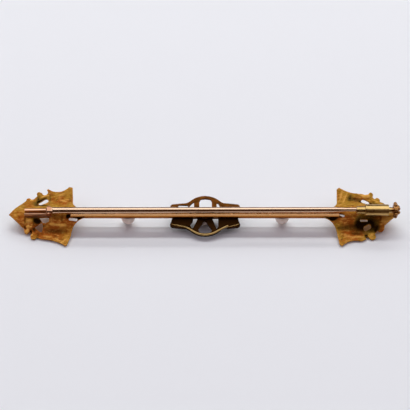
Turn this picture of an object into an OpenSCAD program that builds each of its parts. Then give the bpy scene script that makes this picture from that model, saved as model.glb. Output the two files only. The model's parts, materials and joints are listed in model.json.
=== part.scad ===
// Gold bar brooch lying on its face, with its pin side up.
// Every module is drawn in the brooch's own frame: X runs along the bar, Y across it, Z points out of
// the back, and the bar's axis is the X axis. lay_down() then sets the brooch on the table as it rests,
// rolled on to the near corners of its two leaf ends and its centre pearl.

/* [Bar] */
// Distance from the middle of the bar to the base of each leaf end
leaf_base_x = 22; // [21.5:0.25:22.5]
// Radius of the round bar
bar_r = 0.73; // [0.65:0.01:0.75]
// How far the bar runs on past the base of each leaf end
bar_overrun = 0.2; // [0:0.05:0.4]
// Width of the chamfer at each end of the bar
bar_chamfer = 0.15; // [0.05:0.05:0.3]

/* [Leaf ends] */
// Thickness of the leaf metal
leaf_t = 0.4; // [0.35:0.05:0.5]
// Height of the middle ridge's back above the bar's axis
ridge_z = 0.3; // [0.2:0.05:0.35]
// Radius of the ridge's rounded back
ridge_r = 3; // [2.6:0.1:3.4]
// Steepest slope of the wings, in degrees
wing_slope = 35; // [28:1:38]
// Length of the steep straight part of each wing
wing_straight = 0.88; // [0.6:0.02:1]
// Radius of the valley in each wing
valley_r = 1.4; // [1.2:0.1:1.8]
// Slope at which the outer part of each wing rises again, in degrees
outer_slope = 10; // [6:1:12]
// Slope at which the leaf ends drop towards their tips, in degrees
droop = 2.2; // [1.5:0.1:2.5]
// Radius of the flare on the far side of the bar
far_flare_r = 2.3; // [2:0.1:2.6]
// Radius of the flare on the near side of the bar
near_flare_r = 2.7; // [2.3:0.1:2.7]
// Length of the bevel on the back of each tip
tip_bevel_len = 2.2; // [1.6:0.1:2.6]
// Depth of the bevel at the tip
tip_bevel_z = 0.16; // [0.1:0.01:0.2]

/* [Centre ornament] */
// Radius of the round middle of the ornament
orn_r = 3.66; // [3.5:0.02:3.8]
// Width of the ring around the openings
orn_ring = 0.5; // [0.4:0.02:0.6]
// Half length of the ornament at its two ends
lobe_x = 5.8; // [5.5:0.05:6.1]
// Half width of the side lobes next to the ring
lobe_y = 2.3; // [2.2:0.05:2.4]
// Radius of the side lobes' outer corners
lobe_corner_r = 0.45; // [0.3:0.05:0.6]
// Radius of the fillets between the ring and the lobes
orn_fillet_r = 1.4; // [1:0.1:1.8]
// Depth of the ornament's back below the bar's axis
orn_back_z = 0.6; // [0.5:0.01:0.65]
// Thickness of the ornament
orn_t = 0.5; // [0.4:0.05:0.6]

/* [Pearls] */
// Radius of the centre pearl
centre_pearl_r = 1.2; // [1.1:0.05:1.3]
// Depth of the centre pearl's middle below the bar's axis
centre_pearl_z = 1.49; // [1.4:0.01:1.6]
// Depth of the flat on the back of the centre pearl
centre_flat_z = 0.95; // [0.9:0.01:1]
// Radius of the two pearls on the bar
bar_pearl_r = 1.15; // [1:0.05:1.2]
// Depth of those pearls' middles below the bar's axis
bar_pearl_z = 1.3; // [1.2:0.05:1.35]
// Distance of those pearls from the middle of the bar
bar_pearl_x = 12.8; // [11:0.2:14]
// Radius of the pegs that hold the pearls
peg_r = 0.2; // [0.15:0.01:0.22]
// Gap between a pearl and the gold it sits on
pearl_gap = 0.03; // [0.02:0.01:0.05]

/* [Pin] */
// Radius of the pin's wire at the hinge
pin_r = 0.54; // [0.5:0.01:0.55]
// Radius of the wire before its taper
pin_end_r = 0.43; // [0.4:0.01:0.46]
// Where the wire starts to taper, from the middle of the bar
taper_x = 21.5; // [20:0.5:22]
// Where the taper ends, from the middle of the bar
point_x = 23; // [22.5:0.25:24]
// Radius of the thin end that slides into the catch
pin_point_r = 0.33; // [0.28:0.01:0.34]
// Where the pin ends, from the middle of the bar
pin_tip_x = 26.5; // [26.3:0.05:26.6]
// Radius of the blunted tip
pin_tip_r = 0.06; // [0.04:0.01:0.1]
// How far the pin's tip stands above the catch's axis
pin_tip_up = 0.08; // [0:0.01:0.09]
// How far the pin's tip leans to the far side
pin_tip_far = 0.08; // [0:0.01:0.09]

/* [Hinge] */
// Distance of the hinge rivet from the middle of the bar
hinge_x = 25.7; // [25.5:0.1:26]
// Height of the hinge rivet above the bar's axis
hinge_z = 1.36; // [1.34:0.01:1.45]
// Radius of the rounded ears
ear_r = 0.46; // [0.44:0.01:0.5]
// Gap between the two cheeks
cheek_gap = 0.66; // [0.6:0.02:0.7]
// Thickness of each cheek
cheek_t = 0.25; // [0.22:0.01:0.3]
// Length of the cheeks behind the rivet
cheek_len = 4.05; // [3.5:0.05:4.2]
// Height of the long low part of the cheeks above the bar's axis
cheek_z = 1; // [0.9:0.02:1.05]
// Thickness of the pin's flat eye
eye_t = 0.58; // [0.5:0.02:0.58]
// Radius of the pin's flat eye
eye_r = 0.5; // [0.46:0.01:0.52]
// Radius of the rivet
rivet_r = 0.17; // [0.14:0.01:0.18]
// Radial gap between the rivet and its holes
rivet_gap = 0.03; // [0.02:0.01:0.04]
// Radius of the rivet's heads
rivet_head_r = 0.28; // [0.25:0.01:0.32]
// Thickness of the rivet's heads
rivet_head_t = 0.1; // [0.08:0.01:0.14]

/* [Catch] */
// Height of the catch's axis above the bar's axis
catch_z = 1.48; // [1.45:0.01:1.52]
// Where the catch tube starts, from the middle of the bar
tube_x = 26.3; // [26.2:0.05:26.5]
// Length of the catch tube
tube_len = 3.8; // [3.6:0.1:3.9]
// Outer radius of the catch tube
tube_r = 0.96; // [0.92:0.01:0.97]
// Radius of the lip at the mouth of the catch tube
tube_lip_r = 1; // [0.98:0.01:1.04]
// Length of that lip
tube_lip_len = 0.3; // [0.2:0.01:0.4]
// Radius of the counterbore at the mouth
tube_mouth_r = 0.82; // [0.76:0.01:0.86]
// Depth of that counterbore
tube_mouth_len = 0.12; // [0.08:0.01:0.2]
// Half width of the saddle that carries the tube
saddle_y = 0.42; // [0.3:0.02:0.5]
// Radius of the sliding sleeve
sleeve_r = 0.66; // [0.64:0.01:0.68]
// Radial gap between the sleeve and the tube
sleeve_gap = 0.04; // [0.03:0.005:0.06]
// Where the closed sleeve starts, from the middle of the bar
sleeve_x = 24.9; // [24.8:0.05:25]
// Radius of the sleeve's bore
sleeve_bore_r = 0.49; // [0.48:0.01:0.5]
// Depth of the sleeve's bore
sleeve_bore_len = 1.9; // [1.8:0.05:2.2]
// Radius of the neck behind the knob
neck_r = 0.5; // [0.4:0.01:0.55]
// Where the knob's disc starts, from the middle of the bar
knob_x = 30.95; // [30.9:0.05:31]
// Thickness of the knob's disc
knob_t = 0.6; // [0.5:0.05:0.7]
// Radius of the knob's disc
knob_r = 1.05; // [0.95:0.01:1.08]
// Number of beads around the knob
knob_beads = 8; // [6:2:8]
// Number of beads on the knob's end
end_beads = 5; // [4:1:6]
// Radius of each bead
bead_r = 0.3; // [0.26:0.01:0.32]

/* [Hidden] */
$fn = 64;

// Lengths of the leaf ends, and where their far and near corners stand: [from the base, from the axis]
left_leaf_len = 10.5;
right_leaf_len = 9.9;
far_corner = [0.85, 5.36];
near_corner = [0.9, 5.42];

// Section across a leaf: a round ridge, a steep straight, a round valley and a rising outer part
ridge_mid = [0, ridge_z - ridge_r];
steep = [cos(wing_slope), -sin(wing_slope)];
steep_normal = [sin(wing_slope), cos(wing_slope)];
rising = [cos(outer_slope), sin(outer_slope)];
rising_normal = [-sin(outer_slope), cos(outer_slope)];
valley_mid = ridge_mid + ridge_r * steep_normal + wing_straight * steep + valley_r * steep_normal;
outer_start = valley_mid - valley_r * rising_normal;

function flip(p) = [-p[0], p[1]];

// Height of the leaf's back, and of its front, at a place on the outer part of a wing
function outer_back_z(p) =
    (outer_start[1] + (p[1] - outer_start[0]) * tan(outer_slope)) / cos(droop) - p[0] * tan(droop);
function outer_front_z(p) = outer_back_z(p) - leaf_t / cos(outer_slope) / cos(droop);

// How the brooch rests: the front edge of a near corner and the centre pearl both touch the table
rest_y = near_corner[1];
rest_depth = -outer_front_z(near_corner);
lever = norm([rest_y, rest_depth - centre_pearl_z]);
roll = asin(centre_pearl_r / lever) - atan2(rest_depth - centre_pearl_z, rest_y);
// The lobe on the near side of the left leaf reaches this much lower than the corners
lobe_reach = 0.03;
bar_axis_z = centre_pearl_z * cos(roll) + centre_pearl_r + lobe_reach;
reach_far = far_corner[1] * cos(roll) - outer_front_z(far_corner) * sin(roll);
reach_near = rest_y * cos(roll) + outer_back_z(near_corner) * sin(roll);
bar_axis_y = (reach_near - reach_far) / 2;
end_bead_x = knob_x + knob_t + bead_r / 2;
middle_x = (left_leaf_len + leaf_base_x - end_bead_x - bead_r) / 2;

// Margin by which a cut runs past a surface, and depth to which one soldered piece sinks in another
past = 1;
sunk = 0.1;

yellow_gold = "#b8842e";
rose_gold = "#d8a583";
pearl_white = "#e8dccf";

module lay_down() {
    translate([middle_x, bar_axis_y, bar_axis_z]) rotate([roll, 0, 0]) children();
}

// A rod along X from x0 to x1
module rod(x0, x1, r) {
    translate([x0, 0, 0]) rotate([0, 90, 0]) cylinder(r = r, h = x1 - x0);
}

// A round plate across Y, centred on the axis of the hinge
module across(r, t) {
    translate([-hinge_x, 0, hinge_z]) rotate([90, 0, 0]) cylinder(r = r, h = t, center = true);
}

// A slot with round ends
module slot(length, width) {
    square([length - width, width], center = true);
    for (x = [-1, 1]) translate([x * (length - width) / 2, 0]) circle(width / 2);
}

// A circle through a and b that cuts a scallop of the given depth out of the metal below it
module scallop(a, b, sag) {
    chord = norm(b - a);
    r = (chord * chord / 4 + sag * sag) / (2 * sag);
    outward = [a[1] - b[1], b[0] - a[0]] / chord;
    translate((a + b) / 2 + (r - sag) * outward) circle(r);
}

// Everything below the leaf's back, or below its front when t is the thickness of the metal.
// Outlines are listed counter-clockwise throughout.
module below_leaf(t, margin) {
    ridge_end = ridge_mid + (ridge_r - t) * steep_normal;
    valley_start = valley_mid - (valley_r + t) * steep_normal;
    valley_end = valley_mid - (valley_r + t) * rising_normal;
    edge = valley_end + 3 * rising;
    floor_z = -2 * leaf_t - 2 - margin;
    difference() {
        union() {
            polygon([[-edge[0], floor_z], [edge[0], floor_z], edge, valley_end, valley_start, ridge_end,
                     flip(ridge_end), flip(valley_start), flip(valley_end), flip(edge)]);
            translate(ridge_mid) intersection() {
                circle(ridge_r - t);
                translate([-ridge_r, -past]) square([2 * ridge_r, ridge_r + past]);
            }
        }
        translate(valley_mid) circle(valley_r + t);
        translate(flip(valley_mid)) circle(valley_r + t);
    }
}

module sheet(length) {
    rotate([0, droop, 0]) translate([-near_flare_r - past, 0, 0]) rotate([90, 0, 90])
        linear_extrude(near_flare_r + length + 2 * past) difference() {
            below_leaf(0, 0);
            below_leaf(leaf_t, past);
        }
}

// Half of a leaf's outline, from the middle line outwards. Places are [from the base, from the axis].
module half_leaf(tip, base, flare_r, corner_a, corner_b, sag, point, notch, notch_r, lobe, lobe_r,
                 step, bump, bump_r, shoulder) {
    // the flare starts a little inside the bar
    flare_y = bar_r - sunk / 2 + flare_r;
    difference() {
        union() {
            polygon([[0, -sunk], [tip - sunk, -sunk], [tip, 0], shoulder, bump, step, lobe, point,
                     corner_b, corner_a, [base, flare_y]]);
            translate(lobe) circle(lobe_r);
            translate(bump) circle(bump_r);
            difference() {
                translate([base - flare_r, -sunk]) square([flare_r + sunk, flare_y + sunk]);
                translate([base - flare_r, flare_y]) circle(flare_r);
            }
        }
        scallop(corner_b, point, sag);
        translate(notch) circle(notch_r);
        children();
    }
}

module left_far_half() {
    half_leaf(tip = left_leaf_len, base = 0.12, flare_r = far_flare_r, corner_a = [0.25, 5.3],
              corner_b = far_corner, sag = 0.66, point = [4.32, 5.08], notch = [4.88, 4.52],
              notch_r = 0.5, lobe = [5.88, 4.22], lobe_r = 0.38, step = [6.65, 3.4],
              bump = [7.55, 3.12], bump_r = 0.44, shoulder = [8.15, 2.95])
        translate([5.02, 2.68]) rotate(-36) slot(1.8, 0.84);
}

module left_near_half() {
    half_leaf(tip = left_leaf_len, base = 0.15, flare_r = near_flare_r, corner_a = [0.68, 5.2],
              corner_b = near_corner, sag = 0.3, point = [4.9, 4], notch = [7.05, 2.98],
              notch_r = 0.28, lobe = [6.3, 3.48], lobe_r = 0.54, step = [6.9, 2.9],
              bump = [7.5, 2.52], bump_r = 0.44, shoulder = [8.35, 1.9]) {
        polygon([[3.75, 0.62], [5.45, 0.6], [4.8, 1.48], [4.3, 1.5], [3.8, 1.28]]);
        polygon([[4.85, 1.48], [5.2, 1.45], [6.25, 2.02], [5.5, 2.6], [4.98, 2.78], [4.8, 2.15]]);
        translate([-0.2, 0.98]) rotate(-7) slot(1.5, 0.5);
    }
}

module right_far_half() {
    half_leaf(tip = right_leaf_len, base = 0.05, flare_r = far_flare_r, corner_a = [0.1, 5],
              corner_b = [0.5, 5.27], sag = 0.2, point = [3.4, 4.3], notch = [4.88, 4.78],
              notch_r = 0.7, lobe = [5.8, 4.1], lobe_r = 0.4, step = [6.3, 3.45],
              bump = [6.85, 3.15], bump_r = 0.45, shoulder = [7.75, 2.6])
        translate([4.78, 2.78]) rotate(-28) slot(1.45, 0.8);
}

module right_near_half() {
    half_leaf(tip = right_leaf_len, base = -0.15, flare_r = near_flare_r, corner_a = [0.1, 5.15],
              corner_b = [0.5, near_corner[1]], sag = 0.5, point = [3.75, 4.42],
              notch = [4.77, 3.8], notch_r = 0.28, lobe = [5.6, 3.5], lobe_r = 0.6,
              step = [6.25, 2.75], bump = [7, 1.95], bump_r = 0.7, shoulder = [7.85, 1.6]) {
        translate([4.2, 1.08]) slot(1.35, 0.42);
        translate([4.8, 2.1]) rotate(-24) slot(1.35, 0.72);
        translate([0.52, 0.2]) rotate(25) slot(1.15, 0.52);
    }
}

// A leaf end: the plan of each half cut out of the shaped sheet, with a bevel on the back of the tip
module leaf(side) {
    depth = 2 + past;
    length = side == "left" ? left_leaf_len : right_leaf_len;
    top = ridge_z - length * tan(droop);
    translate([leaf_base_x, 0, 0]) difference() {
        intersection() {
            union() {
                translate([0, 0, -depth]) linear_extrude(depth + past)
                    if (side == "left") left_far_half(); else right_far_half();
                mirror([0, 1, 0]) translate([0, 0, -depth]) linear_extrude(depth + past)
                    if (side == "left") left_near_half(); else right_near_half();
            }
            sheet(length);
        }
        rotate([90, 0, 0]) linear_extrude(2 * far_corner[1], center = true)
            polygon([[length - tip_bevel_len, top + tip_bevel_len * tan(droop)],
                     [length + sunk, top - tip_bevel_z], [length + sunk, past],
                     [length - tip_bevel_len, past]]);
    }
}

module bar() {
    end = leaf_base_x + bar_overrun;
    rod(bar_chamfer - end, end - bar_chamfer, bar_r);
    for (side = [0, 1]) mirror([side, 0, 0])
        translate([end - bar_chamfer, 0, 0]) rotate([0, 90, 0])
            cylinder(r1 = bar_r, r2 = bar_r - bar_chamfer, h = bar_chamfer);
}

// Outline of the ornament: a disc with a lobe on each side, joined by fillets
module ornament_outline() {
    fillet_y = lobe_y + orn_fillet_r;
    fillet_x = sqrt(pow(orn_r + orn_fillet_r, 2) - fillet_y * fillet_y);
    touch = [fillet_x, fillet_y] * orn_r / (orn_r + orn_fillet_r);
    corner = [lobe_x - lobe_corner_r, lobe_y - 0.2 - lobe_corner_r];
    top_y = corner[1] + lobe_corner_r;
    waist_x = lobe_x - 0.45;
    waist_y = 0.3;
    circle(orn_r);
    polygon([[lobe_x, corner[1]], [corner[0], top_y], [fillet_x, lobe_y], [-fillet_x, lobe_y],
             [-corner[0], top_y], [-lobe_x, corner[1]], [-waist_x, waist_y], [-waist_x, -waist_y],
             [-lobe_x, -corner[1]], [-corner[0], -top_y], [-fillet_x, -lobe_y],
             [fillet_x, -lobe_y], [corner[0], -top_y], [lobe_x, -corner[1]], [waist_x, -waist_y],
             [waist_x, waist_y]]);
    difference() {
        polygon([[fillet_x, lobe_y], touch, [-touch[0], touch[1]], [-fillet_x, lobe_y],
                 [-fillet_x, -lobe_y], -touch, [touch[0], -touch[1]], [fillet_x, -lobe_y]]);
        for (x = [-1, 1]) for (y = [-1, 1])
            translate([x * fillet_x, y * fillet_y]) circle(orn_fillet_r);
    }
    for (x = [-1, 1]) for (y = [-1, 1])
        translate([x * corner[0], y * corner[1]]) circle(lobe_corner_r);
}

module ornament_openings() {
    top_r = 0.35;
    intersection() {
        circle(orn_r - orn_ring);
        union() {
            // near window
            translate([-0.05, -1.4]) circle(top_r);
            polygon([[-0.4, -1.4], [0.3, -1.4], [1.15, -2.55], [0.95, -3.4], [-0.9, -3.4],
                     [-1.12, -2.4]]);
            // far window
            polygon([[-0.6, 0.95], [0.75, 0.95], [1.12, 1.5], [1.12, 2.65], [0.75, 3.3],
                     [-0.6, 3.3], [-0.96, 2.65], [-0.96, 1.5]]);
            // far left corner
            polygon([[-1.85, 0.85], [-1.85, 3.3], [-3.4, 3.3], [-3.4, 0.85]]);
            // far right corner
            polygon([[1.93, 0.85], [1.93, 2.3], [2.2, 2.4], [2.5, 1.6], [2.5, 0.85]]);
            // near left slot
            polygon([[-1.15, -0.4], [-1.47, -1.15], [-1.8, -1.8], [-2.03, -2.33], [-2.2, -2.28],
                     [-2.52, -1.65], [-2.05, -1], [-1.95, -0.4]]);
            // near right slot
            polygon([[1.1, -0.4], [1.47, -1.25], [1.72, -1.95], [1.9, -2.45], [2.18, -2.1],
                     [2.18, -0.4]]);
        }
    }
    // slots in the lobes
    translate([-3.65, 1.75]) slot(1.7, 0.46);
    translate([-3.2, -2]) rotate(-8) slot(1.4, 0.24);
    translate([3.15, -2.25]) rotate(20) slot(1.5, 0.22);
}

module ornament() {
    difference() {
        translate([0, 0, -orn_back_z - orn_t]) linear_extrude(orn_t) difference() {
            ornament_outline();
            ornament_openings();
        }
        translate([0, 0, -orn_back_z - orn_t - past])
            cylinder(r = centre_pearl_r + pearl_gap, h = orn_back_z + orn_t + past - centre_flat_z);
    }
    // boss and peg of the centre pearl
    boss_r = 0.85;
    translate([0, 0, -centre_flat_z]) cylinder(r = boss_r, h = centre_flat_z);
    translate([0, 0, -centre_pearl_z - peg_r]) cylinder(r = peg_r, h = centre_pearl_z);
}

module hinge_cheeks() {
    foot_z = leaf_t - ridge_z;
    for (side = [-1, 1]) difference() {
        y0 = side * (cheek_gap + cheek_t) / 2;
        union() {
            translate([0, y0, 0]) across(ear_r, cheek_t);
            translate([-hinge_x - cheek_len, y0 - cheek_t / 2, -foot_z])
                cube([cheek_len + ear_r, cheek_t, foot_z + cheek_z]);
            translate([-hinge_x - ear_r, y0 - cheek_t / 2, 0]) cube([2 * ear_r, cheek_t, hinge_z]);
        }
        across(rivet_r + rivet_gap, 2 * cheek_gap + 4 * cheek_t);
    }
}

module catch_tube() {
    end = tube_x + tube_len;
    bore_r = sleeve_r + sleeve_gap;
    foot_z = leaf_t - ridge_z;
    difference() {
        union() {
            translate([0, 0, catch_z]) rod(tube_x, end, tube_r);
            translate([0, 0, catch_z]) rod(tube_x, tube_x + tube_lip_len, tube_lip_r);
            translate([tube_x + tube_lip_len, -saddle_y, -foot_z])
                cube([tube_len - 2 * tube_lip_len, 2 * saddle_y, foot_z + catch_z - bore_r - sunk]);
        }
        translate([0, 0, catch_z]) rod(tube_x - past, end + past, bore_r);
        translate([0, 0, catch_z]) rod(tube_x - past, tube_x + tube_mouth_len, tube_mouth_r);
    }
}

module bar_pegs() {
    for (side = [-1, 1]) translate([side * bar_pearl_x, 0, -bar_pearl_z - bar_pearl_r / 2])
        cylinder(r = peg_r, h = bar_pearl_z + bar_pearl_r / 2);
}

module brooch_frame() {
    color(yellow_gold) lay_down() {
        bar();
        leaf("right");
        mirror([1, 0, 0]) leaf("left");
        ornament();
        hinge_cheeks();
        catch_tube();
        bar_pegs();
    }
}

module peg_hole(depth) {
    translate([0, 0, -depth]) cylinder(r = peg_r + pearl_gap, h = depth + past);
}

module centre_pearl() {
    size = 4 * centre_pearl_r;
    color(pearl_white) lay_down() difference() {
        translate([0, 0, -centre_pearl_z]) sphere(centre_pearl_r);
        translate([-size / 2, -size / 2, -centre_flat_z - pearl_gap]) cube(size);
        peg_hole(centre_pearl_z + peg_r + pearl_gap);
    }
}

// A pearl on the front of the bar, ground hollow to sit on it
module bar_pearl(x) {
    color(pearl_white) lay_down() difference() {
        translate([x, 0, -bar_pearl_z]) sphere(bar_pearl_r);
        rod(x - 2 * bar_pearl_r, x + 2 * bar_pearl_r, bar_r + pearl_gap);
        translate([x, 0, 0]) peg_hole(bar_pearl_z + bar_pearl_r / 2 + pearl_gap);
    }
}

module left_pearl() {
    bar_pearl(-bar_pearl_x);
}

module right_pearl() {
    bar_pearl(bar_pearl_x);
}

module hinge_rivet() {
    width = cheek_gap + 2 * cheek_t + 2 * pearl_gap;
    color(yellow_gold) lay_down() {
        across(rivet_r, width + rivet_head_t);
        for (side = [-1, 1]) translate([0, side * (width + rivet_head_t) / 2, 0])
            across(rivet_head_r, rivet_head_t);
    }
}

module pin_stem() {
    start = ear_r + 0.12;
    span = hinge_x + pin_tip_x;
    rise = atan2(catch_z + pin_tip_up - hinge_z, span);
    lean = atan2(pin_tip_far, span);
    tongue_r = 0.85 * pin_r;
    color(rose_gold) lay_down() {
        difference() {
            union() {
                across(eye_r, eye_t);
                translate([-hinge_x, -eye_t / 2, hinge_z - tongue_r])
                    cube([start + sunk, eye_t, 2 * tongue_r]);
            }
            across(rivet_r + rivet_gap, 2 * eye_t);
        }
        translate([-hinge_x, 0, hinge_z]) rotate([0, -rise, lean])
            translate([start, 0, 0]) rotate([0, 90, 0]) rotate_extrude()
                polygon([[0, 0], [pin_r - sunk, 0], [pin_r, sunk],
                         [pin_end_r, taper_x + hinge_x - start],
                         [pin_point_r, point_x + hinge_x - start],
                         [pin_point_r, sleeve_x + hinge_x - start],
                         [pin_tip_r, span - start], [0, span - start]]);
    }
}

module catch_sleeve() {
    neck_x = tube_x + tube_len - tube_lip_len;
    color(yellow_gold) lay_down() translate([0, 0, catch_z]) {
        difference() {
            rod(sleeve_x, neck_x, sleeve_r);
            rod(sleeve_x - past, sleeve_x + sleeve_bore_len, sleeve_bore_r);
        }
        rod(neck_x - sunk, knob_x + sunk, neck_r);
        rod(knob_x, knob_x + knob_t, knob_r);
        for (i = [0 : knob_beads - 1]) rotate([(i + 0.5) * 360 / knob_beads, 0, 0])
            translate([knob_x + knob_t / 2, 0, knob_r]) sphere(bead_r);
        for (i = [0 : end_beads - 1]) rotate([i * 360 / end_beads, 0, 0])
            translate([end_bead_x, 0, knob_r / 2]) sphere(bead_r);
    }
}

brooch_frame();
centre_pearl();
left_pearl();
right_pearl();
hinge_rivet();
pin_stem();
catch_sleeve();
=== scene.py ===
"""Gold bar brooch lying on its face, with its hinged pin and sliding catch upwards.

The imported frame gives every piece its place. The soldered gold is dressed as the pieces that a jeweller
solders together: two pierced leaf ends, a round bar, an openwork ornament, hinge cheeks and a catch tube.
"""

import json
import math

import bmesh
import bpy
import numpy as np
from bpy.props import FloatProperty, FloatVectorProperty, PointerProperty, StringProperty
from mathutils import Matrix, Vector, noise


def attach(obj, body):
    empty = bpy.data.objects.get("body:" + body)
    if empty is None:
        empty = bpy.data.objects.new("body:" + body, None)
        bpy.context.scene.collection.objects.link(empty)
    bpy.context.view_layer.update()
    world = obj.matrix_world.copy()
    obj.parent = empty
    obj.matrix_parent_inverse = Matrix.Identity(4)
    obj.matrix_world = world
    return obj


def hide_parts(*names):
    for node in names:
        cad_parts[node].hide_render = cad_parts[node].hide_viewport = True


bl_info = {
    "name": "Gold bar brooch",
    "version": (1, 0, 0),
    "blender": (4, 5, 0),
    "location": "View3D > Sidebar > Brooch",
    "description": "Dresses a gold bar brooch that lies on its face, pin side up",
    "category": "Object",
}

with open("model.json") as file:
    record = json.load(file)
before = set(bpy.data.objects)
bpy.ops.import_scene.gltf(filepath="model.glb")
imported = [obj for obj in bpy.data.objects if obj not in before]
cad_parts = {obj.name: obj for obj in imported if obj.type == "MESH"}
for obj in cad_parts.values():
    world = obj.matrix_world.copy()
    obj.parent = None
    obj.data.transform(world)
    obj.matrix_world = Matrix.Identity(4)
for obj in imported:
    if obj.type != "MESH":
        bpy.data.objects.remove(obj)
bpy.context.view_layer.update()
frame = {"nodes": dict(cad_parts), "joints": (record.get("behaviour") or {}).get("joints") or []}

# The photograph's frame is this many pixels wide and high
PHOTO_SIDE = 410

# All shapes are made on the brooch's own axes, in millimetres: X along the bar, Y across it to the far side, Z out
# of the back. The pin's hinge, at these two places on them, gives where they lie on the table.
HINGE_X = -25.7
HINGE_Z = 1.36
PIN_HINGE = next(joint for joint in frame["joints"] if joint["name"] == "pin_hinge")
ROLL = math.atan2(-PIN_HINGE["axis"][2], -PIN_HINGE["axis"][1])
TO_TABLE = (Matrix.Translation(PIN_HINGE["pos_m"]) @ Matrix.Rotation(ROLL, 4, "X") @ Matrix.Scale(0.001, 4)
            @ Matrix.Translation((-HINGE_X, 0, -HINGE_Z)))

# Radius of the round bar that the solid has
BAR_R = 0.735
# Where the leaf ends start to either side, and how far inwards their pieces reach under the bar
LEAF_BASE = 22
LEAF_INNER = 18.6
# Height of a leaf end's ridge at its base, and the slope at which it drops towards the tip
RIDGE_Z = 0.3
DROOP = math.radians(2.2)
# The hinge cheeks and the catch tube stand on the leaf ends, farther out than this
FINDINGS_FROM = 24.5
# Half the length of the piece that holds the centre ornament
ORNAMENT_HALF = 6.4
# Where the pearls sit to either side of the middle
PEARL_X = 12.8


class GoldSettings(bpy.types.PropertyGroup):
    """Colours of the gold"""
    leaf: StringProperty(name="Leaf back", description="Brushed yellow gold, sRGB hex", default="#cd9e41")
    # Besides browning at random, this colour paints shade along the near half of the leaf backs
    leaf_dark: StringProperty(name="Leaf back, toned", description="Where the brushed gold has gone brown, sRGB hex",
                              default="#bf6e27")
    leaf_olive: StringProperty(name="Leaf back, olive", description="Where the brushed gold looks greener, sRGB hex",
                               default="#c89d3c")
    streak: StringProperty(name="Brush streak", description="Toning left between the brush's strokes, sRGB hex",
                           default="#7c420f")
    # Also a painted highlight on raised chased marks
    rubbed_and_highlight: StringProperty(name="Rubbed edge", description="Edges that wear keeps bright, sRGB hex",
                           default="#efc46c")
    # Also painted shade, in sunk chased marks and at the leaf roots beside the bar
    grime_and_shade: StringProperty(name="Grime", description="Old polish and tarnish left in hollows, sRGB hex",
                          default="#2c1705")
    # The ornament's nearly black colour is painted shade together with tarnishing
    tarnish_and_shade: StringProperty(name="Tarnish", description="Nearly black tarnish of the ornament, sRGB hex",
                            default="#2e1907")
    bar: StringProperty(name="Bar", description="Satin yellow gold, sRGB hex", default="#ffc486")
    # Painted shade on the bar's sides and underside
    bar_side_shade: StringProperty(name="Bar, toned", description="Sides of the bar, sRGB hex", default="#a8600e")
    hinge: StringProperty(name="Hinge", description="Rosy gold of the hinge cheeks, sRGB hex", default="#efb78f")
    catch: StringProperty(name="Catch", description="Polished greenish gold, sRGB hex", default="#cca768")
    catch_toned: StringProperty(name="Catch, toned", description="Knob of the catch, sRGB hex", default="#8a4a1c")
    pin: StringProperty(name="Pin", description="Drawn rosier gold, sRGB hex", default="#dfba9a")
    # Painted shade on the hinge ears and the pin's eye
    hinge_eye_shade: StringProperty(name="Pin and hinge, toned", description="Pin's eye and the ears beside it, sRGB hex",
                              default="#9a5c3c")


class PearlSettings(bpy.types.PropertyGroup):
    """Colours of the pearls"""
    body: StringProperty(name="Body", description="Colour of the nacre, sRGB hex", default="#ffe0cc")
    cloud: StringProperty(name="Cloud", description="Paler clouds in the nacre, sRGB hex", default="#fff0e6")


class SizeSettings(bpy.types.PropertyGroup):
    """Sizes of what scene.py adds to the solids"""
    bar_slope: FloatProperty(name="Bar's slopes", description="Distance from the bar's axis to the long slopes "
                             "along its back, in millimetres", default=0.594)
    bar_side: FloatProperty(name="Bar's sides", description="Distance from the bar's axis to its two sides, in "
                            "millimetres", default=0.6)
    hammering: FloatProperty(name="Hammering", description="Height of the faint hammering on the leaf backs, in "
                             "millimetres", default=0.03)
    leaf_voxel: FloatProperty(name="Leaf mesh", description="Mesh spacing on the leaf ends, in millimetres",
                              default=0.065)
    ornament_voxel: FloatProperty(name="Ornament mesh", description="Mesh spacing on the ornament, in millimetres",
                                  default=0.05)
    edge: FloatProperty(name="Polished edge", description="Width of the softened edges of cheeks and tube, in "
                        "millimetres", default=0.035)


class StageSettings(bpy.types.PropertyGroup):
    """Camera, table and lights"""
    elevation: FloatProperty(name="Camera elevation", description="Camera angle above the table",
                             default=math.radians(47), subtype="ANGLE")
    distance: FloatProperty(name="Camera distance", description="From the camera to the point it looks at",
                            default=0.1982, unit="LENGTH")
    aim: FloatVectorProperty(name="Camera aim", description="Point on the table at the picture's middle",
                             default=(0.000235, 0.00429, 0), subtype="TRANSLATION", unit="LENGTH")
    focal_px: FloatProperty(name="Focal length", description="Focal length in pixels of the photo's frame",
                            default=1168)
    table: StringProperty(name="Table", description="Pale matt table, sRGB hex", default="#ecedf0")
    front: StringProperty(name="Dark front", description="What the gold mirrors in front of the brooch, sRGB hex",
                          default="#5a3c26")


def linear(hex_colour):
    """Linear RGBA of an sRGB hex colour"""
    parts = [int(hex_colour[i:i + 2], 16) / 255 for i in (1, 3, 5)]
    return (*[p / 12.92 if p <= 0.04045 else ((p + 0.055) / 1.055) ** 2.4 for p in parts], 1)


def node(material, kind, links=None, **settings):
    """Adds a node. links maps an input to the output that feeds it. Settings are attributes, or inputs by name,
    or by number as i0, i1 and so on."""
    tree = material.node_tree
    made = tree.nodes.new(kind)
    for key, value in settings.items():
        if hasattr(made, key):
            setattr(made, key, value)
        else:
            made.inputs[int(key[1:]) if key[0] == "i" and key[1:].isdigit() else key.replace("_", " ")
                        ].default_value = value
    for key, source in (links or {}).items():
        tree.links.new(source, made.inputs[key])
    return made


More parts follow.
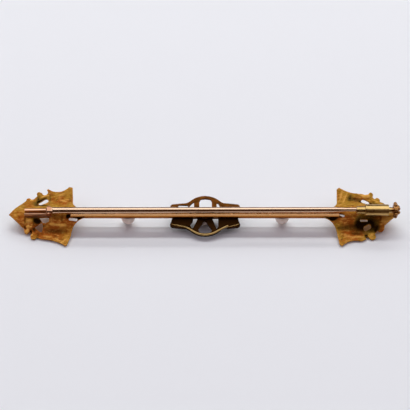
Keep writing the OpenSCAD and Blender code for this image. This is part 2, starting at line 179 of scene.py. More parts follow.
def mix(material, share, first, second):
    """The colour that goes from first to second with share, where each colour may be a value or an output. For
    colours the node's inputs are 0, 6 and 7 and its output is 2."""
    outputs = {key: given for key, given in ((0, share), (6, first), (7, second))
               if isinstance(given, bpy.types.NodeSocket)}
    made = node(material, "ShaderNodeMix", outputs, data_type="RGBA")
    for key, given in ((6, first), (7, second)):
        if key not in outputs:
            made.inputs[key].default_value = given
    return made.outputs[2]


def new_material(name):
    """A material with an empty node tree"""
    material = bpy.data.materials.new(name)
    material.use_nodes = True
    material.node_tree.nodes.clear()
    return material


def brushed_leaf_gold(gold):
    """Cast 18 ct gold, brushed by hand on its back: a soft broad shine that gives no clear reflection, browned at
    random from reddish brown to olive, with dark hollows and bright edges where cloth rubs. The near half is painted
    browner as painted shade, chased marks are painted lighter where raised and darker where sunk, and the roots
    beside the bar are painted dark as painted shade."""
    m = new_material("Brushed yellow gold, leaf backs")
    place = node(m, "ShaderNodeTexCoord").outputs["Object"]
    apart = node(m, "ShaderNodeSeparateXYZ", {0: place})
    # Along the near half, 2 mm from the middle, the leaf back is painted browner than the rest, as painted shade.
    # Noise scales count blotches in a metre: the toning is 1.7 mm across, and its drift to olive 3.2 mm.
    off = node(m, "ShaderNodeMath", {0: apart.outputs["Y"]}, operation="ADD", i1=0.002)
    far = node(m, "ShaderNodeMath", {0: off.outputs[0]}, operation="ABSOLUTE")
    near_trough_shade = node(m, "ShaderNodeMapRange", {"Value": far.outputs[0]}, From_Min=0.0024, From_Max=0.0008, To_Max=0.16)
    cloud = node(m, "ShaderNodeTexNoise", {"Vector": place}, Scale=600, Detail=4, Roughness=0.65)
    clean = node(m, "ShaderNodeMath", {0: cloud.outputs["Fac"], 1: near_trough_shade.outputs["Result"]}, operation="SUBTRACT")
    tone = node(m, "ShaderNodeMapRange", {"Value": clean.outputs[0]}, From_Min=0.34, From_Max=0.56)
    tone_and_shade = mix(m, tone.outputs["Result"], linear(gold.leaf_dark), linear(gold.leaf))
    drift = node(m, "ShaderNodeTexNoise", {"Vector": place}, Scale=310, Detail=2, Roughness=0.5)
    to_right = node(m, "ShaderNodeMapRange", {"Value": apart.outputs["X"]}, From_Min=-0.02, From_Max=0.02,
                    To_Min=-0.05, To_Max=0.09)
    green = node(m, "ShaderNodeMath", {0: drift.outputs["Fac"], 1: to_right.outputs["Result"]}, operation="ADD")
    greener = node(m, "ShaderNodeMapRange", {"Value": green.outputs[0]}, From_Min=0.52, From_Max=0.68)
    olive = mix(m, greener.outputs["Result"], tone_and_shade, linear(gold.leaf_olive))
    # Brush marks are about 0.03 mm apart, and are drawn 0.3 mm apart, 0.8 mm long and 0.1 mm deep so that they show
    stroke = node(m, "ShaderNodeMapping", {"Vector": place}, Rotation=(0, 0, 0.2), Scale=(0.4, 1, 1))
    grain = node(m, "ShaderNodeTexNoise", {"Vector": stroke.outputs[0]}, Scale=3000, Detail=3, Roughness=0.65)
    streak = node(m, "ShaderNodeMapRange", {"Value": grain.outputs["Fac"]}, From_Min=0.48, From_Max=0.32, To_Max=0.6)
    streaked = mix(m, streak.outputs["Result"], olive, linear(gold.streak))
    fleck = node(m, "ShaderNodeMapRange", {"Value": grain.outputs["Fac"]}, From_Min=0.52, From_Max=0.7, To_Max=0.8)
    flecked = mix(m, fleck.outputs["Result"], streaked, linear(gold.rubbed_and_highlight))
    # How far a spot stands out, in millimetres, with painted light added: raised chased marks count higher and sunk
    # ones lower, so that their colour paints light and shade
    relief_and_painted_light = node(m, "ShaderNodeAttribute", attribute_name="relief_and_painted_light").outputs["Fac"]
    # Hollows get the dark colour: patina in real hollows, and painted shade in sunk marks and at the leaf roots
    # beside the bar
    hollow_and_shade = node(m, "ShaderNodeMapRange", {"Value": relief_and_painted_light}, From_Min=-0.005, From_Max=-0.06)
    grimy_and_shaded = mix(m, hollow_and_shade.outputs["Result"], flecked, linear(gold.grime_and_shade))
    # Edges get the bright colour: wear on real edges, and painted highlight on raised marks
    edge = node(m, "ShaderNodeMapRange", {"Value": relief_and_painted_light}, From_Min=0.012, From_Max=0.05)
    worn_and_highlit = mix(m, edge.outputs["Result"], grimy_and_shaded, linear(gold.rubbed_and_highlight))
    rough = node(m, "ShaderNodeMapRange", {"Value": grain.outputs["Fac"]}, To_Min=0.75, To_Max=1.0)
    bump = node(m, "ShaderNodeBump", {"Height": grain.outputs["Fac"]}, Strength=0.9, Distance=0.00013)
    shader = node(m, "ShaderNodeBsdfPrincipled",
                  {"Base Color": worn_and_highlit, "Roughness": rough.outputs["Result"], "Normal": bump.outputs["Normal"]},
                  Metallic=1.0)
    node(m, "ShaderNodeOutputMaterial", {"Surface": shader.outputs[0]})
    return m


def shaded_tarnished_gold(gold):
    """Cast gold under the bar, painted nearly black: painted shade together with real tarnishing, wearing through to
    warm metal on the edges that stand out, and painted lighter on the far side"""
    m = new_material("Tarnished cast gold, ornament")
    place = node(m, "ShaderNodeTexCoord").outputs["Object"]
    # Tarnish wears through in spots of 0.7 mm
    cloud = node(m, "ShaderNodeTexNoise", {"Vector": place}, Scale=1400, Detail=3, Roughness=0.6)
    blotch = node(m, "ShaderNodeMapRange", {"Value": cloud.outputs["Fac"]}, To_Min=-0.01, To_Max=0.01)
    relief_and_painted_light = node(m, "ShaderNodeAttribute", attribute_name="relief_and_painted_light").outputs["Fac"]
    spot = node(m, "ShaderNodeMath", {0: blotch.outputs["Result"], 1: relief_and_painted_light}, operation="ADD")
    edge = node(m, "ShaderNodeMapRange", {"Value": spot.outputs[0]}, From_Min=0.004, From_Max=0.045)
    colour = mix(m, edge.outputs["Result"], linear(gold.tarnish_and_shade), linear(gold.leaf_dark))
    rough = node(m, "ShaderNodeMapRange", {"Value": edge.outputs["Result"]}, To_Min=0.5, To_Max=0.35)
    shader = node(m, "ShaderNodeBsdfPrincipled", {"Base Color": colour, "Roughness": rough.outputs["Result"]},
                  Metallic=1.0)
    node(m, "ShaderNodeOutputMaterial", {"Surface": shader.outputs[0]})
    return m


def polished_gold(name, hex_colour, roughness, tone_and_shade, toned_past=None):
    """18 ct gold polished along its length: a lengthwise sheen with fine scratches and faint fingermarks, and a
    darker brown colour where a piece has the attribute of painted shade, or else between two places along the
    brooch. That brown is painted shade on the bar's sides, the hinge ears and the pin's eye, and it darkens the
    catch's knob."""
    m = new_material(name)
    place = node(m, "ShaderNodeTexCoord").outputs["Object"]
    # Polishing scratches are a few hundredths of a millimetre apart, and are drawn 0.2 mm apart and 3 mm long so
    # that they show. Fingermarks are 2.4 mm across.
    along = node(m, "ShaderNodeMapping", {"Vector": place}, Scale=(0.06, 1, 1))
    grain = node(m, "ShaderNodeTexNoise", {"Vector": along.outputs[0]}, Scale=5000, Detail=2)
    marks = node(m, "ShaderNodeTexNoise", {"Vector": place}, Scale=420, Detail=3, Roughness=0.6)
    both = node(m, "ShaderNodeMath", {0: grain.outputs["Fac"], 1: marks.outputs["Fac"]}, operation="ADD")
    rough = node(m, "ShaderNodeMapRange", {"Value": both.outputs[0]}, From_Min=0.7, From_Max=1.3,
                 To_Min=roughness * 0.88, To_Max=roughness * 1.12)
    tone = mix(m, marks.outputs["Fac"], [c * 0.84 for c in linear(hex_colour)[:3]] + [1], linear(hex_colour))
    if toned_past is None:
        share = node(m, "ShaderNodeAttribute", attribute_name="tone_and_shade").outputs["Fac"]
    else:
        apart = node(m, "ShaderNodeSeparateXYZ", {0: place}).outputs["X"]
        share = node(m, "ShaderNodeMapRange", {"Value": apart}, From_Min=toned_past[0], From_Max=toned_past[1],
                     To_Max=0.7).outputs["Result"]
    shader = node(m, "ShaderNodeBsdfPrincipled", {"Base Color": mix(m, share, tone, linear(tone_and_shade)),
                                                   "Roughness": rough.outputs["Result"]}, Metallic=1.0)
    node(m, "ShaderNodeOutputMaterial", {"Surface": shader.outputs[0]})
    return m


def pearl_nacre(pearl):
    """Nacre of a half-drilled pearl, grown in layers: a satin lustre over a milky, faintly pink body"""
    m = new_material("Pearl nacre")
    place = node(m, "ShaderNodeTexCoord").outputs["Object"]
    # The body is cloudy in patches of 0.7 mm
    cloud = node(m, "ShaderNodeTexNoise", {"Vector": place}, Scale=1500, Detail=2)
    colour = mix(m, cloud.outputs["Fac"], linear(pearl.body), linear(pearl.cloud))
    shader = node(m, "ShaderNodeBsdfPrincipled", {"Base Color": colour}, Roughness=0.32, Coat_Weight=0.6,
                  Coat_Roughness=0.12)
    node(m, "ShaderNodeOutputMaterial", {"Surface": shader.outputs[0]})
    return m


def matt_paper(stage):
    """Uncoated paper: an even matt surface. What the gold mirrors of it turns dark 9 to 15 mm in front of the
    brooch's middle, as the room in front of the table is dark."""
    m = new_material("Matt paper sweep")
    mirrored = node(m, "ShaderNodeLightPath").outputs["Is Glossy Ray"]
    place = node(m, "ShaderNodeTexCoord").outputs["Object"]
    apart = node(m, "ShaderNodeSeparateXYZ", {0: place}).outputs["Y"]
    near = node(m, "ShaderNodeMapRange", {"Value": apart}, From_Min=-0.009, From_Max=-0.015)
    dark = node(m, "ShaderNodeMath", {0: mirrored, 1: near.outputs["Result"]}, operation="MULTIPLY")
    shade = mix(m, dark.outputs[0], linear(stage.table), linear(stage.front))
    shader = node(m, "ShaderNodeBsdfPrincipled", {"Base Color": shade}, Roughness=0.9)
    node(m, "ShaderNodeOutputMaterial", {"Surface": shader.outputs[0]})
    return m


def material_named(start):
    """The material whose name starts with a word, which the finishes operator has made"""
    return next(m for m in bpy.data.materials if m.name.startswith(start))


def solder_frame():
    """The soldered gold's mesh, merged, in the brooch's own axes"""
    bm = bmesh.new()
    bm.from_mesh(frame["nodes"]["brooch_frame"].data)
    bmesh.ops.remove_doubles(bm, verts=bm.verts, dist=1e-7)
    bmesh.ops.transform(bm, matrix=TO_TABLE.inverted(), verts=bm.verts)
    return bm


def tuck_bar(bm):
    """Draws the round bar's skin, the vertices at its radius, in under the dressed bar, which takes its place"""
    for v in bm.verts:
        if abs(v.co.yz.length - BAR_R) < 0.012 and abs(v.co.x) < LEAF_BASE + 0.1:
            v.co.y *= 0.8
            v.co.z *= 0.4 if v.co.z > 0 else 0.8


def close_up(bm):
    """Drops loose bits and closes every open edge loop"""
    bmesh.ops.delete(bm, geom=[v for v in bm.verts if not v.link_faces], context="VERTS")
    bmesh.ops.holes_fill(bm, edges=[e for e in bm.edges if e.is_boundary], sides=0)
    bmesh.ops.triangulate(bm, faces=[f for f in bm.faces if len(f.verts) > 4])
    bmesh.ops.recalc_face_normals(bm, faces=bm.faces)


def cut(bm, place, normal):
    """Cuts a mesh off at a plane, on the side its normal points to"""
    bmesh.ops.bisect_plane(bm, geom=bm.verts[:] + bm.edges[:] + bm.faces[:], dist=1e-6, plane_co=place,
                           plane_no=normal, clear_outer=True)


def object_from(bm, name):
    """A new object in the scene with a mesh's shape"""
    mesh = bpy.data.meshes.new(name)
    bm.to_mesh(mesh)
    bm.free()
    made = bpy.data.objects.new(name, mesh)
    bpy.context.scene.collection.objects.link(made)
    return made


def bake(made):
    """Applies an object's modifiers"""
    mesh = bpy.data.meshes.new_from_object(made.evaluated_get(bpy.context.evaluated_depsgraph_get()))
    made.modifiers.clear()
    made.data = mesh


def remesh(made, voxel):
    """Melts a mesh into one even skin, as solder and the burnisher do"""
    skin = made.modifiers.new("Skin", "REMESH")
    skin.mode = "VOXEL"
    skin.voxel_size = voxel
    bake(made)


def wire(name, path):
    """A soft wire through points that give x, y, height and radius"""
    curve = bpy.data.curves.new(name, "CURVE")
    curve.dimensions = "3D"
    curve.bevel_depth = 1
    curve.bevel_resolution = 5
    curve.resolution_u = 8
    curve.use_fill_caps = True
    line = curve.splines.new("NURBS")
    line.points.add(len(path) - 1)
    for point, (x, y, z, radius) in zip(line.points, path):
        point.co = (x, y, z, 1)
        point.radius = radius
    line.use_endpoint_u = True
    line.order_u = 3
    drawn = bpy.data.objects.new(name, curve)
    bpy.context.scene.collection.objects.link(drawn)
    mesh = bpy.data.meshes.new_from_object(drawn.evaluated_get(bpy.context.evaluated_depsgraph_get()))
    bpy.data.objects.remove(drawn)
    bm = bmesh.new()
    bm.from_mesh(mesh)
    bmesh.ops.remove_doubles(bm, verts=bm.verts, dist=1e-4)
    bmesh.ops.recalc_face_normals(bm, faces=bm.faces)
    return object_from(bm, name)


def vectors(items, name):
    """One vector of each item of a mesh, as rows"""
    values = np.empty(len(items) * 3)
    items.foreach_get(name, values)
    return values.reshape(-1, 3)


def mark_relief_and_painted_light(made, painted_light, share=1, rounds=10):
    """Stores a share of how far each spot stands out of its smoothed surroundings, in millimetres, plus a given
    height for each that paints light: a higher value is painted lighter and a lower one darker. The materials use it
    for bright edges and dark hollows, which are partly wear and patina and partly painted highlight and painted
    shade."""
    mesh = made.data
    place, normal = vectors(mesh.vertices, "co"), vectors(mesh.vertices, "normal")
    ends = np.empty(len(mesh.edges) * 2, dtype=np.int64)
    mesh.edges.foreach_get("vertices", ends)
    one, other = ends.reshape(-1, 2).T
    count = np.maximum(np.bincount(ends, minlength=len(place)), 1)[:, None]
    smooth = place.copy()
    for _ in range(rounds):
        total = np.zeros_like(smooth)
        np.add.at(total, one, smooth[other])
        np.add.at(total, other, smooth[one])
        smooth = (smooth + total / count) / 2
    relief_and_painted_light = share * ((place - smooth) * normal).sum(axis=1) + painted_light
    mesh.attributes.new("relief_and_painted_light", "FLOAT", "POINT").data.foreach_set("value", relief_and_painted_light.astype(np.float32))


def chase(made, marks, hammering):
    """Raises and sinks a leaf's back with the chaser's marks, over faint hammering, where it looks up. Gives how
    far the marks alone lift each vertex."""
    mesh = made.data
    place, normal = vectors(mesh.vertices, "co"), vectors(mesh.vertices, "normal")
    lift = np.zeros(len(place))
    for x, y, length, width, turn, height in marks:
        along, across = math.cos(math.radians(turn)), math.sin(math.radians(turn))
        u = ((place[:, 0] - x) * along + (place[:, 1] - y) * across) / length
        v = ((place[:, 1] - y) * along - (place[:, 0] - x) * across) / width
        lift += height * np.exp(-np.abs(u) ** 3 - v ** 2)
    upward = np.clip((normal[:, 2] - 0.25) / 0.3, 0, 1)
    dents = [noise.noise(Vector(p) * 1.7) + 0.6 * noise.noise(Vector(p) * 4.1) for p in place]
    place[:, 2] += upward * (lift + hammering * np.array(dents))
    mesh.vertices.foreach_set("co", place.ravel())
    mesh.update()
    return upward * lift


def settle(made, material):
    """Lays a finished piece of the soldered gold on the table with the brooch, smooth shaded and dressed"""
    made.data.transform(TO_TABLE)
    made.data.materials.clear()
    made.data.materials.append(material)
    for polygon in made.data.polygons:
        polygon.use_smooth = True
    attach(made, "brooch")
    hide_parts("brooch_frame")


# The chaser's marks on the leaf backs, in millimetres and degrees: x, y, half length, half width, turn and height,
# where a mark below nought is sunk. The heights also paint light: raised marks are painted lighter and sunk ones
# darker, and the last two marks of each leaf sink its root beside the bar's near side and paint shade there.
LEFT_MARKS = (
    (-29.75, -0.7, 1.0, 0.14, 90, -0.07), (-29.05, -1.15, 0.6, 0.5, 0, 0.1), (-27.75, -1.15, 0.75, 0.5, -15, -0.2),
    (-29.3, -1.95, 0.3, 0.2, 20, 0.12), (-28.6, -2.0, 0.45, 0.16, 0, 0.12), (-29.75, -2.1, 0.3, 0.16, -40, -0.1),
    (-29.4, -2.55, 0.4, 0.28, 40, 0.14), (-28.8, -2.75, 0.22, 0.35, 0, -0.16), (-28.75, -3.3, 0.35, 0.22, 30, 0.12),
    (-28.3, -2.2, 0.3, 0.5, 20, -0.12), (-27.6, -3.3, 0.6, 0.3, 80, -0.05), (-26.85, -1.95, 0.5, 0.16, 10, -0.1),
    (-25.4, -0.9, 0.75, 0.3, 88, 0.06), (-26.1, -0.9, 0.6, 0.25, 88, -0.05), (-23.6, -0.9, 0.6, 0.3, 85, -0.05),
    (-23.9, -1.85, 1.3, 0.27, -3, 0.11), (-25.3, -1.7, 0.5, 0.25, 8, 0.06), (-24.7, -2.7, 1.9, 0.45, -3, -0.08),
    (-26.0, -3.6, 1.0, 0.3, -8, 0.08), (-24.7, -3.6, 0.6, 0.26, -25, -0.04), (-23.2, -4.45, 0.8, 0.26, 45, 0.08),
    (-24.2, -4.3, 0.6, 0.2, -28, 0.08), (-28.0, 2.75, 1.2, 0.38, 84, -0.1), (-27.2, 3.2, 0.9, 0.25, 28, -0.12),
    (-27.0, 1.85, 0.8, 0.24, -5, -0.12), (-29.0, 3.1, 0.4, 0.26, -20, 0.12), (-26.9, 3.75, 0.6, 0.2, 10, 0.12),
    (-25.95, 3.2, 1.2, 0.3, 88, -0.05), (-24.2, 3.9, 0.8, 0.35, 20, 0.09), (-23.7, 2.9, 0.9, 0.3, -15, 0.09),
    (-24.7, 3.3, 0.6, 0.26, 60, -0.05), (-22.7, 2.6, 1.1, 0.35, 80, -0.04), (-28.6, 2.5, 0.7, 0.3, -60, -0.06),
    (-22.6, -0.5, 0.35, 0.35, 0, -0.24), (-20.6, -0.95, 1.3, 0.35, -8, -0.26))
RIGHT_MARKS = (
    (22.7, 3.7, 1.2, 0.3, 70, 0.09), (23.4, 3.3, 1.2, 0.26, 64, 0.09), (22.0, 2.6, 0.9, 0.25, 60, -0.05),
    (24.3, 3.6, 0.8, 0.3, 70, -0.05), (25.2, 3.2, 1.5, 0.5, -12, -0.09), (26.0, 4.0, 0.5, 0.2, -10, 0.06),
    (26.95, 3.8, 0.7, 0.35, 5, 0.16), (26.3, 2.95, 0.5, 0.2, 20, -0.12), (27.4, 2.6, 0.6, 0.25, -30, -0.14),
    (28.5, 2.4, 0.9, 0.3, -35, -0.08), (28.4, 3.0, 0.8, 0.2, -35, 0.07), (30.1, -0.65, 1.3, 0.6, 22, 0.24),
    (28.9, -0.9, 0.5, 0.3, 60, -0.08), (26.4, -1.65, 2.3, 1.15, 0, -0.2), (24.4, -1.0, 0.7, 0.5, 75, 0.1),
    (22.9, -2.2, 1.2, 0.4, 5, -0.08), (22.9, -1.0, 0.7, 0.3, 0, 0.06), (23.2, -3.4, 1.2, 0.5, -10, 0.08),
    (25.3, -3.7, 1.2, 0.25, 3, 0.09), (24.7, -3.1, 0.9, 0.25, 0, -0.06), (28.4, -2.3, 0.7, 0.4, 50, -0.07),
    (27.5, -3.3, 0.5, 0.35, 40, 0.1), (26.6, -3.45, 0.28, 0.28, 0, -0.16), (22.6, -3.9, 0.7, 0.2, 70, -0.05),
    (22.4, -0.3, 0.6, 0.3, 0, -0.2), (20.6, -0.95, 1.3, 0.35, 8, -0.26))


def ridge_top(x):
    """Height of a leaf end's ridge"""
    return RIDGE_Z - (abs(x) - LEAF_BASE) * math.tan(DROOP)


def stands_on_leaf(face):
    """Whether a face belongs to what is soldered on top of a leaf end: hinge cheeks or catch tube"""
    return any(abs(v.co.x) > FINDINGS_FROM and v.co.z > ridge_top(v.co.x) + 0.05 for v in face.verts)


class BROOCH_OT_leaves(bpy.types.Operator):
    """Model the two pierced leaf ends"""
    bl_idname = "brooch.leaves"
    bl_label = "Leaf ends"

    def execute(self, context):
        sizes = context.scene.brooch_sizes
        for name, side, marks in (("leaf_left", -1, LEFT_MARKS), ("leaf_right", 1, RIGHT_MARKS)):
            bm = solder_frame()
            bmesh.ops.delete(bm, geom=[f for f in bm.faces if stands_on_leaf(f)], context="FACES")
            cut(bm, (side * LEAF_INNER, 0, 0), (-side, 0, 0))
            tuck_bar(bm)
            close_up(bm)
            leaf = object_from(bm, name)
            remesh(leaf, sizes.leaf_voxel)
            lift = chase(leaf, marks, sizes.hammering)
            # The marks' lift paints light: lighter where raised, darker where sunk
            mark_relief_and_painted_light(leaf, 0.4 * lift)
            settle(leaf, material_named("Brushed"))
        return {"FINISHED"}


# How far the long slopes along the bar's back lean from its sides, and how far the bar reaches into each leaf end
BAR_SLOPE_TURN = math.radians(30)
BAR_OVERLAP = 0.2


class BROOCH_OT_bar(bpy.types.Operator):
    """Model the bar that joins the leaf ends, filed flat at its sides and sloped at its back"""
    bl_idname = "brooch.bar"
    bl_label = "Bar"

    def execute(self, context):
        sizes = context.scene.brooch_sizes
        half = LEAF_BASE + BAR_OVERLAP
        bm = bmesh.new()
        ring = bmesh.ops.create_circle(bm, segments=96, radius=BAR_R, cap_ends=True)
        bmesh.ops.rotate(bm, verts=ring["verts"], matrix=Matrix.Rotation(math.radians(90), 3, "Y"))
        bmesh.ops.translate(bm, verts=bm.verts, vec=(-half, 0, 0))
        rod = bmesh.ops.extrude_face_region(bm, geom=bm.faces[:])
        bmesh.ops.translate(bm, verts=[v for v in rod["geom"] if isinstance(v, bmesh.types.BMVert)],
                            vec=(2 * half, 0, 0))
        for turn, reach in ((0, sizes.bar_side), (BAR_SLOPE_TURN, sizes.bar_slope)):
            for side in (-1, 1):
                flat = Vector((0, side * math.cos(turn), math.sin(turn)))
                cut(bm, reach * flat, flat)
                close_up(bm)
        long_edges = [e for e in bm.edges if e.calc_face_angle(0) > math.radians(15)]
        bmesh.ops.bevel(bm, geom=long_edges, offset=0.05, segments=4, affect="EDGES", profile=0.5, material=-1)
        # The bar's sides and underside are painted brown, as painted shade, and only the top of the back keeps the
        # bright gold
        tone_and_shade = bm.verts.layers.float.new("tone_and_shade")
        for v in bm.verts:
            v[tone_and_shade] = min(max((0.52 - v.co.z) / 0.3, 0), 1)
        settle(object_from(bm, "bar"), material_named("Satin"))
        return {"FINISHED"}


# The wire along the ornament's near edge, and the shorter one on its right lobe: x, y, height and radius
RIM = ((-5.6, -1.5, -0.66, 0.08), (-5.1, -1.68, -0.64, 0.12), (-3.6, -1.95, -0.62, 0.12),
       (-2.8, -2.25, -0.6, 0.13), (-2.1, -2.75, -0.58, 0.15), (-1.2, -3.3, -0.56, 0.17), (0, -3.54, -0.56, 0.17),
       (1.2, -3.3, -0.55, 0.16), (2.1, -2.82, -0.52, 0.15), (2.9, -2.34, -0.48, 0.15), (3.5, -2.06, -0.44, 0.16),
       (3.8, -1.92, -0.44, 0.13))
RIM_RIGHT = ((3.7, -2.1, -0.66, 0.07), (4.4, -1.9, -0.65, 0.1), (5.2, -1.72, -0.65, 0.1), (5.6, -1.5, -0.65, 0.08))


class BROOCH_OT_ornament(bpy.types.Operator):
    """Model the openwork ornament under the middle of the bar"""
    bl_idname = "brooch.ornament"
    bl_label = "Centre ornament"

    def execute(self, context):
        bm = solder_frame()
        for side in (-1, 1):
            cut(bm, (side * ORNAMENT_HALF, 0, 0), (side, 0, 0))
        tuck_bar(bm)
        close_up(bm)
        ornament = object_from(bm, "ornament")
        remesh(ornament, context.scene.brooch_sizes.ornament_voxel)
        # The far arch is painted warmer, as painted light, and the rest under the bar is painted nearly black, as
        # painted shade
        far = np.clip(vectors(ornament.data.vertices, "co")[:, 1] / 1.5, 0, 1)
        mark_relief_and_painted_light(ornament, 0.01 * far, 0.2)
        settle(ornament, material_named("Tarnished"))
        for name, path in (("ornament_rim", RIM), ("ornament_edge", RIM_RIGHT)):
            settle(wire(name, path), material_named("Polished"))
        return {"FINISHED"}


# The hinge cheeks' ears hold the pin's eye, from this place on to the right. Their tops are filed to this height,
# and each cheek's inner face is this far from the middle.
EYE_X = -26.1
EAR_TOP = 1.53
CHEEK_INNER = 0.33


def roll_cheeks(bm):
    """Shapes the hinge cheeks. Their ears are filed down beside the pin and painted darker as painted shade, the far
    cheek is thicker left of the pin's eye, and the tops fall off to both sides, the near one more steeply."""
    tone_and_shade = bm.verts.layers.float.new("tone_and_shade")
    for x in (EYE_X - 0.05, EYE_X + 0.05):
        bmesh.ops.bisect_plane(bm, geom=bm.verts[:] + bm.edges[:] + bm.faces[:], dist=1e-6, plane_co=(x, 0, 0),
                               plane_no=(1, 0, 0))
    for v in bm.verts:
        v.co.z = min(v.co.z, EAR_TOP + 0.2 * max(v.co.z - EAR_TOP, 0))
        if v.co.x < EYE_X and 0.2 < v.co.y < 0.4:
            v.co.y -= 0.18
        # Right of the pin's eye, the cheek tops are painted darker, as painted shade
        if v.co.z > 0.8:
            v[tone_and_shade] = min(max((v.co.x - EYE_X) / 0.05, 0), 0.7)
            v.co.z -= (0.16 if v.co.y > 0 else 0.45) * max(abs(v.co.y) - CHEEK_INNER, 0)


class BROOCH_OT_findings(bpy.types.Operator):
    """Model the hinge cheeks and the catch tube"""
    bl_idname = "brooch.findings"
    bl_label = "Hinge cheeks and catch tube"

    def execute(self, context):
        for name, side in (("hinge_cheeks", -1), ("catch_tube", 1)):
            bm = solder_frame()
            bmesh.ops.delete(bm, geom=[f for f in bm.faces if not stands_on_leaf(f)
                                       or side * f.calc_center_median().x < 0], context="FACES")
            close_up(bm)
            # The feet reach into the leaf end's chased skin
            feet = [v for v in bm.verts if v.co.z < ridge_top(v.co.x) + 0.02]
            bmesh.ops.translate(bm, verts=feet, vec=(0, 0, -0.1))
            if side < 0:
                roll_cheeks(bm)
            finding = object_from(bm, name)
            soft = finding.modifiers.new("Edges", "BEVEL")
            soft.width = context.scene.brooch_sizes.edge
            soft.segments = 3
            soft.limit_method = "ANGLE"
            soft.angle_limit = math.radians(35)
            bake(finding)
            settle(finding, material_named("Polished" if side > 0 else "Rolled"))
        return {"FINISHED"}


# Radius of a pearl's peg, and its length from the bar's axis into the pearl
PEG_R = 0.2
PEG_LENGTH = 1.875


class BROOCH_OT_pearl_pegs(bpy.types.Operator):
    """Model the pegs that hold the two pearls on the bar"""
    bl_idname = "brooch.pearl_pegs"
    bl_label = "Pearl pegs"

    def execute(self, context):
        for name, side in (("peg_left", -1), ("peg_right", 1)):
            bm = bmesh.new()
            bmesh.ops.create_cone(bm, cap_ends=True, segments=24, radius1=PEG_R, radius2=PEG_R, depth=PEG_LENGTH,
                                  matrix=Matrix.Translation((side * PEARL_X, 0, -PEG_LENGTH / 2)))
            settle(object_from(bm, name), material_named("Satin"))
        return {"FINISHED"}


class BROOCH_OT_finishes(bpy.types.Operator):
    """Make the metals and the nacre, and give them to the pieces that keep their solids"""
    bl_idname = "brooch.finishes"
    bl_label = "Finishes"

    def execute(self, context):
        gold = context.scene.brooch_gold
        brushed_leaf_gold(gold)
        shaded_tarnished_gold(gold)
        polished_gold("Satin yellow gold, bar", gold.bar, 0.27, gold.bar_side_shade)
        polished_gold("Rolled rosy gold, hinge", gold.hinge, 0.36, gold.hinge_eye_shade)
        catch = polished_gold("Polished yellow gold, catch", gold.catch, 0.28, gold.catch_toned, (0.0306, 0.031))
        # The pin's eye at the hinge is painted darker, as painted shade
        drawn = polished_gold("Drawn rose gold, pin and hinge", gold.pin, 0.2, gold.hinge_eye_shade, (-0.0247, -0.0251))
        nacre = pearl_nacre(context.scene.brooch_pearl)
        finish = {"centre_pearl": nacre, "left_pearl": nacre, "right_pearl": nacre, "pin_stem": drawn,
                  "hinge_rivet": drawn, "catch_sleeve": catch}
        for name, material in finish.items():
            for slot in frame["nodes"][name].material_slots:
                slot.material = material
        return {"FINISHED"}


# The soft boxes' distance from the brooch, in metres, and their colours
BOX_DISTANCE = 0.8
WHITE, ROSE, COOL = (0.97, 1, 1), (1, 0.92, 0.99), (0.92, 1, 1.1)
# Azimuth and elevation are in degrees, and azimuth 0 is straight behind the brooch. Length, from side to side, and
# width are in metres, and power in watts. The last two say whether a box lights what isn't metal, and whether it
# shows in the gold.
SOFT_BOXES = (
    ("Key strip, high", 0, 64, 1.12, 0.07, 3.34, WHITE, True, False),
    ("Key strip, low", 0, 46, 1.12, 0.07, 1.76, WHITE, True, False),
    ("Back box", 0, 34, 1.12, 0.24, 1.5, WHITE, True, False),
    ("Top box", 0, 88, 1.12, 0.48, 1.05, ROSE, True, False),
    ("Tent", 0, 73, 2.6, 0.98, 14.5, COOL, False, True),
    ("Left box", 100, 38, 0.56, 0.56, 0.85, ROSE, True, True),
    ("Right box", -100, 38, 0.56, 0.56, 0.85, ROSE, True, True))


def soft_box(name, azimuth, elevation, length, width, power, colour, lit, mirrored):
    """Hangs a soft box that faces the brooch"""
    light = bpy.data.lights.new(name, "AREA")
    light.shape = "RECTANGLE"
    light.size = length
    light.size_y = width
    light.energy = power
    light.color = colour
    made = bpy.data.objects.new(name, light)
    turn = Matrix.Rotation(math.radians(azimuth), 3, "Z") @ Matrix.Rotation(math.radians(elevation), 3, "X")
    made.location = turn @ Vector((0, BOX_DISTANCE, 0))
    made.rotation_euler = (-made.location).to_track_quat("-Z", "Y").to_euler()
    made.visible_camera = False
    made.visible_diffuse = lit
    made.visible_glossy = mirrored
    bpy.context.scene.collection.objects.link(made)


def dim_room(scene):
    """The room around the table is dim: lilac where it fills the shadows, brown where the gold mirrors it"""
    world = bpy.data.worlds.new("Studio")
    scene.world = world
    world.use_nodes = True
    mirrored = node(world, "ShaderNodeLightPath").outputs["Is Glossy Ray"]
    room = mix(world, mirrored, (0.058, 0.049, 0.058, 1), (0.055, 0.026, 0.011, 1))
    world.node_tree.links.new(room, world.node_tree.nodes["Background"].inputs["Color"])


def place_camera(scene, stage):
    """Sets the camera in front of the brooch, at the photograph's angle above the table"""
    camera = bpy.data.cameras.new("Camera")
    camera.sensor_width = 36
    camera.lens = camera.sensor_width * stage.focal_px / PHOTO_SIDE
    camera.clip_start = 0.005
    made = bpy.data.objects.new("Camera", camera)
    back = Vector((0, -math.cos(stage.elevation), math.sin(stage.elevation)))
    made.location = Vector(stage.aim) + stage.distance * back
    made.rotation_euler = (-back).to_track_quat("-Z", "Y").to_euler()
    scene.collection.objects.link(made)
    scene.camera = made


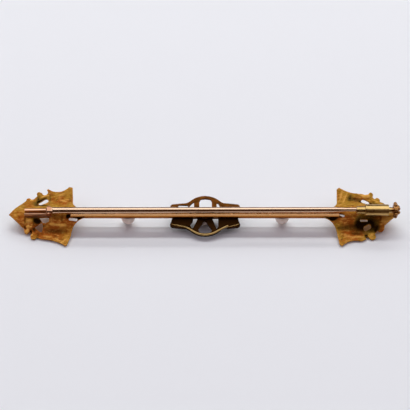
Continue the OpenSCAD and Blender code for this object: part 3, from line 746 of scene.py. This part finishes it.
class BROOCH_OT_stage(bpy.types.Operator):
    """Set the table, the lights and the camera"""
    bl_idname = "brooch.stage"
    bl_label = "Table, lights and camera"

    def execute(self, context):
        stage = context.scene.brooch_stage
        bm = bmesh.new()
        bmesh.ops.create_grid(bm, x_segments=1, y_segments=1, size=2)
        table = object_from(bm, "table")
        table.data.materials.append(matt_paper(stage))
        for box in SOFT_BOXES:
            soft_box(*box)
        dim_room(context.scene)
        context.scene.view_settings.view_transform = "Standard"
        place_camera(context.scene, stage)
        return {"FINISHED"}


class BROOCH_PT_panel(bpy.types.Panel):
    """Lists the brooch's settings and its steps"""
    bl_idname = "BROOCH_PT_panel"
    bl_label = "Bar brooch"
    bl_space_type = "VIEW_3D"
    bl_region_type = "UI"
    bl_category = "Brooch"

    def draw(self, context):
        for group in SETTINGS:
            settings = getattr(context.scene, group)
            for name in settings.bl_rna.properties.keys():
                if name not in ("name", "rna_type"):
                    self.layout.prop(settings, name)
        for step in STEPS:
            self.layout.operator(step.bl_idname)


SETTINGS = {"brooch_gold": GoldSettings, "brooch_pearl": PearlSettings, "brooch_sizes": SizeSettings,
            "brooch_stage": StageSettings}
STEPS = (BROOCH_OT_finishes, BROOCH_OT_leaves, BROOCH_OT_bar, BROOCH_OT_ornament, BROOCH_OT_findings,
         BROOCH_OT_pearl_pegs, BROOCH_OT_stage)


def register():
    """Registers the settings, the steps and the panel"""
    for group in SETTINGS.values():
        bpy.utils.register_class(group)
    for name, group in SETTINGS.items():
        setattr(bpy.types.Scene, name, PointerProperty(type=group))
    for step in STEPS:
        bpy.utils.register_class(step)
    bpy.utils.register_class(BROOCH_PT_panel)


def unregister():
    """Takes all of it out again"""
    bpy.utils.unregister_class(BROOCH_PT_panel)
    for step in reversed(STEPS):
        bpy.utils.unregister_class(step)
    for name in SETTINGS:
        delattr(bpy.types.Scene, name)
    for group in reversed(SETTINGS.values()):
        bpy.utils.unregister_class(group)


def main():
    """Builds the brooch and its stage"""
    register()
    for step in STEPS:
        getattr(bpy.ops.brooch, step.bl_idname.split(".")[1])()


if __name__ == "__main__":
    main()
